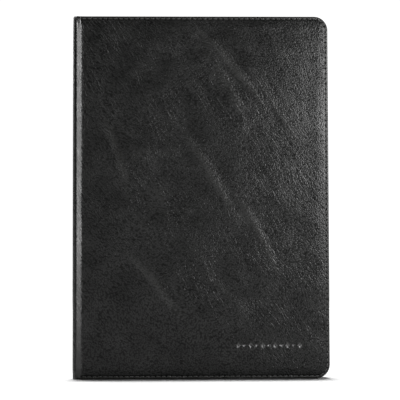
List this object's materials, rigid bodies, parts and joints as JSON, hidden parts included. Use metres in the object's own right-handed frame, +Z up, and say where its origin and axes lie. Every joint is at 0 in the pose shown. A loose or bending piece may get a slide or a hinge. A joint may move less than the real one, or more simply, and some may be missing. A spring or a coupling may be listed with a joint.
{
  "type": "tablet case",
  "caption": "Book-style leather tablet case with a stitched front cover, rounded spine, back cover and an inner snap-in tablet shell.",
  "frame": {"origin": "middle of the closed case's footprint, on the surface that it stands on", "axes": "+X from the spine to the free edge, +Y from the front cover to the back cover, +Z up along the tall side"},
  "size_m": [0.176, 0.016, 0.249],
  "materials": {
    "outer_leather": "semi-gloss pebbled full-grain leather, soft creases",
    "thread": "waxed polyester thread",
    "lining_suede": "matt microsuede",
    "board": "grey-brown bookbinder's fibre board",
    "padding": "thin closed-cell foam",
    "magnet": "nickel-plated magnet",
    "shell_plastic": "fine spark-textured polycarbonate",
    "pad_felt": "short-pile microfibre",
    "adhesive": "double-sided adhesive sheet",
    "ring_plastic": "satin moulded plastic"
  },
  "bodies": {
    "back_cover": {"back_leather": "outer_leather", "back_board": "board", "back_lining": "lining_suede", "back_stitching": "thread", "back_inner_stitching": "thread", "back_magnets": "magnet", "shell_tape": "adhesive", "tablet_shell": "shell_plastic", "shell_pad": "pad_felt", "camera_ring": "ring_plastic"},
    "spine": {"spine_leather": "outer_leather", "spine_board": "board", "spine_lining": "lining_suede"},
    "front_cover": {"front_leather": "outer_leather", "front_padding": "padding", "front_board": "board", "front_lining": "lining_suede", "front_stitching": "thread", "front_inner_stitching": "thread", "front_magnets": "magnet"}
  },
  "joints": [
    {"name": "spine_fold", "type": "hinge", "parent": "back_cover", "child": "spine", "pos_m": [-0.0855, 0.0055, 0.1245], "axis": [0, 0, -1], "range_deg": [0, 179.5]},
    {"name": "cover_fold", "type": "hinge", "parent": "spine", "child": "front_cover", "pos_m": [-0.0855, -0.0055, 0.1245], "axis": [0, 0, -1], "range_deg": [0, 179.5]}
  ]
}
